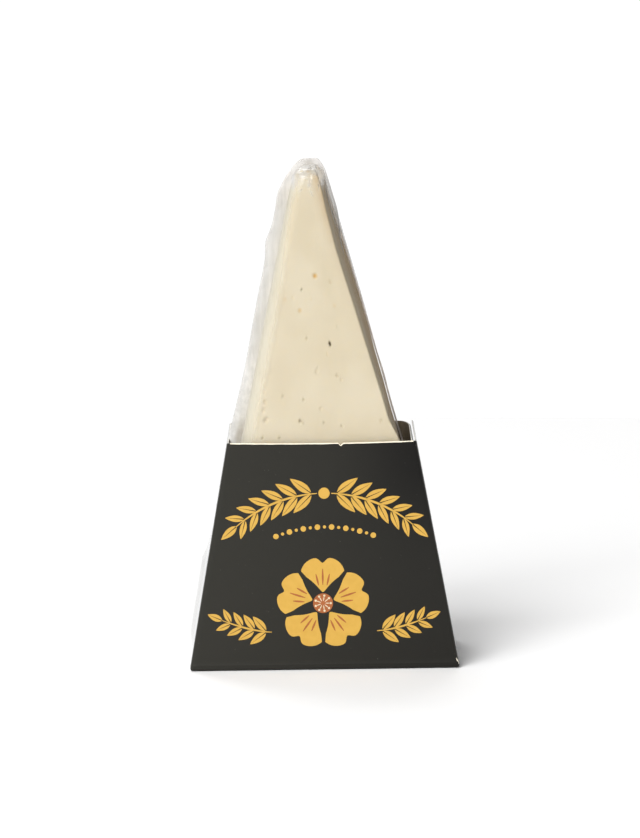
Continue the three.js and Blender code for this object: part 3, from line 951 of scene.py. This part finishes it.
def make_seam(finish):
    """The pouch's seam: two films sealed into one thin, wavy fin that grows out of the wedge."""
    edge = seam_edge()
    height = np.minimum(edge[:, 1], WEDGE.ridge_top - 1)
    skewed = skew_at(seam_y(height), height)
    sunk = SEAM.sunk + rounded_in(height) * WEDGE.ridge_turn
    middle = (left_face(height) + right_face(height)) / 2 + skewed
    low = np.minimum(left_face(height) + skewed + sunk, middle)
    high = np.maximum(right_face(height) + skewed - sunk, middle)
    root = np.column_stack([np.clip(edge[:, 0], low, high), height])
    share = np.linspace(0, 1, 13).reshape(1, -1, 1)
    flat = root[:, None] * (1 - share) + edge[:, None] * share
    on_left = (edge[:, 0] < middle).reshape(-1, 1)
    depth = np.where(on_left, seam_y(flat[..., 1]), SEAM.y)
    place = np.stack([flat[..., 0], depth, flat[..., 1]], axis=-1)
    out, high = share[..., 0], flat[..., 1]
    tip = smoothstep(high, *SEAM.tip)
    sway = sum(out * (w.reach + w.at_tip * tip) * ripples(place, w.size, w.seed) for w in SEAM_WAVES)
    streak = 0.5 + 0.5 * ripples(place * np.array([1, 1, 0.12]), 0.7, 34)
    rim_and_root = smoothstep(out, 0.7, 0.95) + 1 - smoothstep(out, 0.38, 0.5)
    haze = np.where(on_left, 0.72 + 0.2 * streak, 0.12 + 0.55 * rim_and_root)
    haze = np.maximum(haze, 0.9 * smoothstep(high, 109, 110.5))
    warmth = 0.45 * (1 - smoothstep(out, 0.2, 1)) * (1 - smoothstep(high, 104, 109)) * on_left
    # Painted shade where the seam goes down into the sleeve.
    shade = 0.5 * smoothstep(high, 44, 48) * (1 - smoothstep(high, 52, 57))
    shade = shade * (1 - smoothstep(out, 0.45, 0.7))
    # bright paints light on the seam's tip; fold carries the painted shade at the mouth.
    values = {"haze": haze, "warmth": warmth, "bright": 0.2 * tip, "fold": shade, "gloss": 0.6}
    seam = make_sheet("film_seam", place + sway[..., None] * np.array([0, 1, 0]), finish, values)
    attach(seam, "root")
    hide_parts("wrapped_wedge")


# ---- The print on the front panel ----


class Print:
    """Flat shapes of one ink, each a thin closed plate on the front panel."""

    def __init__(self, name, finish, depth):
        self.name = name
        self.finish = finish
        self.depth = depth
        self.points = []
        self.faces = []

    def shape(self, outline):
        """Adds a shape from its outline in x and z."""
        outline = np.asarray(outline, float)
        after = np.roll(outline, -1, axis=0)
        if (outline[:, 0] * after[:, 1] - after[:, 0] * outline[:, 1]).sum() < 0:
            outline = outline[::-1]
        first, count = len(self.points), len(outline)
        for y in (-HALF_DEPTH - self.depth, -HALF_DEPTH + self.depth):
            self.points += [(x, y, z) for x, z in outline]
        front = list(range(first, first + count))
        self.faces += [front, [n + count for n in reversed(front)]]
        for here, following in zip(front, front[1:] + front[:1]):
            self.faces.append([here, here + count, following + count, following])

    def done(self):
        piece = make_piece(self.name, self.points, self.faces, [self.finish], sharp=30)
        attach(piece, "root")


def polar(degrees, radius):
    angle = np.radians(degrees)
    return np.column_stack([radius * np.cos(angle), radius * np.sin(angle)])


def placed(outline, place, degrees=0):
    """An outline turned counter-clockwise and moved to its place."""
    angle = math.radians(degrees)
    spin = np.array([[math.cos(angle), math.sin(angle)], [-math.sin(angle), math.cos(angle)]])
    return np.asarray(outline, float) @ spin + place


def disc(radius, steps=24):
    return polar(np.linspace(0, 360, steps, endpoint=False), radius)


def leaf_halves(length, width):
    """The two halves of a pointed leaf along +X, parted by a bare midrib."""
    share = np.linspace(0, 1, 15)
    margin = width / 2 * np.sin(np.pi * share**0.8) ** 0.85
    inner = LEAF.rib * (1 - share)
    margin = np.maximum(margin, inner)
    half = np.array([*zip(share * length, inner), *zip(share[-2:0:-1] * length, margin[-2:0:-1])])
    return [half, half * (1, -1)]


def ribbon(middle, width):
    """A narrow band along a line, tapered to both ends."""
    middle = np.asarray(middle, float)
    along = np.gradient(middle, axis=0)
    across = np.column_stack([-along[:, 1], along[:, 0]]) / np.linalg.norm(along, axis=1, keepdims=True)
    half = width / 2 * (0.35 + 0.65 * np.sin(np.linspace(0, np.pi, len(middle)))).reshape(-1, 1)
    return np.vstack([middle + across * half, (middle - across * half)[::-1]])


def petal(inner, outer, half_angle, notch):
    """A petal along +X, pointed at the heart, broad and notched at its end."""
    turn = np.linspace(-1, 1, 33)
    rim = outer * (1 - 0.16 * abs(turn) ** 3) - notch * np.exp(-((turn / 0.16) ** 2))
    root = inner + (outer * 0.72 - inner) * abs(turn) ** 2
    return np.vstack([polar(turn * half_angle, rim), polar(turn * half_angle, root)[::-1][1:-1]])


LEAF = Named(rib=0.11, stem=0.35, last_length=0.8, last_width=0.9)
GARLAND = Named(
    x=0.35, top=39.4, radius=30, pairs=6, first=5, step=6.1, leaf=5.6, width=1.95, lean=40, twig=0.5,
    bud=1.25,
)
DOTS = Named(top=31.9, radius=30, reach=21, count=7, large=0.62, small=0.36)
BLOSSOM = Named(x=-0.2, z=14.9, heart=2.2, root=2.5, petal=10.3, half_angle=33.5, notch=1.3, rays=9)
SPRIG = Named(x=17.9, z=8.6, length=12.5, rise=3.4, pairs=4, leaf=4.3, width=1.7, lean=42, twig=0.4)


def print_leaf(gold, foot, heading, length, width, stem=0):
    for half in leaf_halves(length, width):
        gold.shape(placed(half + (stem, 0), foot, heading))


def print_pair(gold, foot, heading, sizes, size):
    for side in (-1, 1):
        lean = side * sizes.lean
        print_leaf(gold, foot, heading + lean, sizes.leaf * size, sizes.width * size, LEAF.stem)


def print_last(gold, foot, heading, sizes):
    """The single leaf that ends a twig."""
    print_leaf(gold, foot, heading, sizes.leaf * LEAF.last_length, sizes.width * LEAF.last_width)


def print_garland(gold):
    """Two bowed twigs with leaves in pairs, which meet at a bud, and a row of dots under them."""
    centre = np.array([GARLAND.x, GARLAND.top - GARLAND.radius])
    reach = GARLAND.first + GARLAND.step * GARLAND.pairs
    for side in (-1, 1):
        bow = 90 - side * np.linspace(GARLAND.first - 2, reach - 1, 30)
        gold.shape(ribbon(polar(bow, GARLAND.radius) + centre, GARLAND.twig))
        for k in range(GARLAND.pairs):
            angle = 90 - side * (GARLAND.first + GARLAND.step * k)
            foot = polar([angle], GARLAND.radius)[0] + centre
            print_pair(gold, foot, angle - side * 90, GARLAND, 1 - 0.05 * k)
        tip = 90 - side * (reach - 1.2)
        print_last(gold, polar([tip], GARLAND.radius)[0] + centre, tip - side * 90, GARLAND)
    gold.shape(disc(GARLAND.bud) + centre + (0, GARLAND.radius))
    centre = np.array([GARLAND.x, DOTS.top - DOTS.radius])
    for k, angle in enumerate(90 + np.linspace(-DOTS.reach, DOTS.reach, 2 * DOTS.count + 1)):
        size = DOTS.small if k % 2 else DOTS.large
        gold.shape(disc(size, 18) + polar([angle], DOTS.radius)[0] + centre)


def print_blossom(gold, brown, cream):
    """An open five-petalled blossom with a brown heart, brown veins and a ring of cream stamens."""
    place = (BLOSSOM.x, BLOSSOM.z)
    outline = petal(BLOSSOM.root, BLOSSOM.petal, BLOSSOM.half_angle, BLOSSOM.notch)
    brown.shape(disc(BLOSSOM.heart, 40) + place)
    for k in range(5):
        heading = 90 + 72 * k
        gold.shape(placed(outline, place, heading))
        for spread, length in ((-13, 2.6), (0, 3.6), (13, 2.6)):
            line = polar([spread, spread], np.array([BLOSSOM.root + 1.6, BLOSSOM.root + 1.6 + length]))
            middle = line[0] + np.outer(np.linspace(0, 1, 9), line[1] - line[0])
            brown.shape(placed(ribbon(middle, 0.42), place, heading))
    for k in range(BLOSSOM.rays):
        heading = 360 / BLOSSOM.rays * k
        stalk = np.column_stack([np.linspace(0.5, 1.5, 5), np.zeros(5)])
        cream.shape(placed(ribbon(stalk, 0.2), place, heading))
        cream.shape(disc(0.24, 12) + polar([heading], 1.72)[0] + place)


def print_sprigs(gold):
    """A small leafy sprig in each lower corner, bowed up towards the edge."""
    for side in (-1, 1):
        share = np.linspace(0, 1, 25)
        line = np.column_stack([side * SPRIG.length * (share - 0.5), SPRIG.rise * share**1.6])
        line = line + (side * SPRIG.x, SPRIG.z)
        gold.shape(ribbon(line[:-3], SPRIG.twig))
        for k in range(SPRIG.pairs):
            here = 2 + k * 5
            step = line[here + 1] - line[here]
            heading = math.degrees(math.atan2(step[1], step[0]))
            print_pair(gold, line[here], heading, SPRIG, 1 - 0.07 * k)
        step = line[-1] - line[-2]
        print_last(gold, line[-4], math.degrees(math.atan2(step[1], step[0])), SPRIG)


def make_print():
    gold = Print("gold_print", ink("gold_ink", COLOURS.gold), 0.02)
    brown = Print("brown_print", ink("brown_ink", COLOURS.brown), 0.03)
    cream = Print("cream_print", ink("cream_ink", COLOURS.cream), 0.04)
    print_garland(gold)
    print_blossom(gold, brown, cream)
    print_sprigs(gold)
    for layer in (gold, brown, cream):
        layer.done()


# ---- The floor and the light ----

FLOOR = Named(radius=500, steps=96, top=-0.05, under=-3)
STUDIO = Named(bright=0.32, dim=0.08, turn=0.1, backdrop=1.05)
LAMP_TARGET = Vector((0, 0, 0.05))
LAMPS = [
    Named(name="key", place=(-0.62, -1.7, 0.85), size=0.9, power=30.5, colour=(1, 1, 1)),
    Named(name="side", place=(-0.74, -1.05, 1.53), size=1.2, power=22, colour=(1, 1, 1)),
    Named(name="back", place=(-0.3, 1.38, 1.41), size=1.2, power=16, colour=(1, 1, 1)),
    Named(name="fill", place=(1.9, -0.5, 0.3), size=1, power=4.8, colour=(1, 0.92, 0.82)),
]


def make_floor(finish):
    points = [(x, y, z) for z in (FLOOR.top, FLOOR.under) for x, y in disc(FLOOR.radius, FLOOR.steps)]
    top = list(range(FLOOR.steps))
    under = [n + FLOOR.steps for n in top]
    sides = [[a, b, c, d] for a, b, c, d in zip(under, under[1:] + under[:1], top[1:] + top[:1], top)]
    floor = make_piece("floor", points, [top, under[::-1]] + sides, [finish], sharp=30)


def make_lamp(lamp):
    data = bpy.data.lights.new(lamp.name, "AREA")
    data.shape = "DISK"
    data.size = lamp.size
    data.energy = lamp.power
    data.color = lamp.colour
    light = bpy.data.objects.new(lamp.name, data)
    light.location = lamp.place
    light.rotation_euler = (LAMP_TARGET - Vector(lamp.place)).to_track_quat("-Z", "Y").to_euler()
    light.visible_camera = False
    bpy.context.scene.collection.objects.link(light)


def make_world():
    """A white studio to the camera and in reflections. Its soft light is stronger from the left."""
    world = bpy.data.worlds.new("studio")
    bpy.context.scene.world = world
    f = Finish(world, "Generated")
    x = f.node("SeparateXYZ", None, {"Vector": f.place}, "X")
    light = STUDIO.dim + (STUDIO.bright - STUDIO.dim) * x.ramp(STUDIO.turn, -STUDIO.turn)
    seen = f.node("LightPath", output="Is Camera Ray") + f.node("LightPath", output="Is Glossy Ray")
    strength = light + seen.clamped() * (STUDIO.backdrop - light)
    f.done(f.node("Background", None, {"Color": (1, 1, 1, 1), "Strength": strength}), "OutputWorld")


def make_light():
    make_world()
    for lamp in LAMPS:
        make_lamp(lamp)
    settings = bpy.context.scene.view_settings
    settings.view_transform = "Standard"
    settings.look = "None"


make_camera()
make_light()
make_floor(pale_floor())
core = board_core()
make_sleeve([black_coating(), bare_board(), core, grey_side_edge()])
make_cheese(cheese_paste())
film = clear_film()
make_pouch(film)
make_seam(film)
make_pleat(film)
make_worn_corner(core)
make_print()
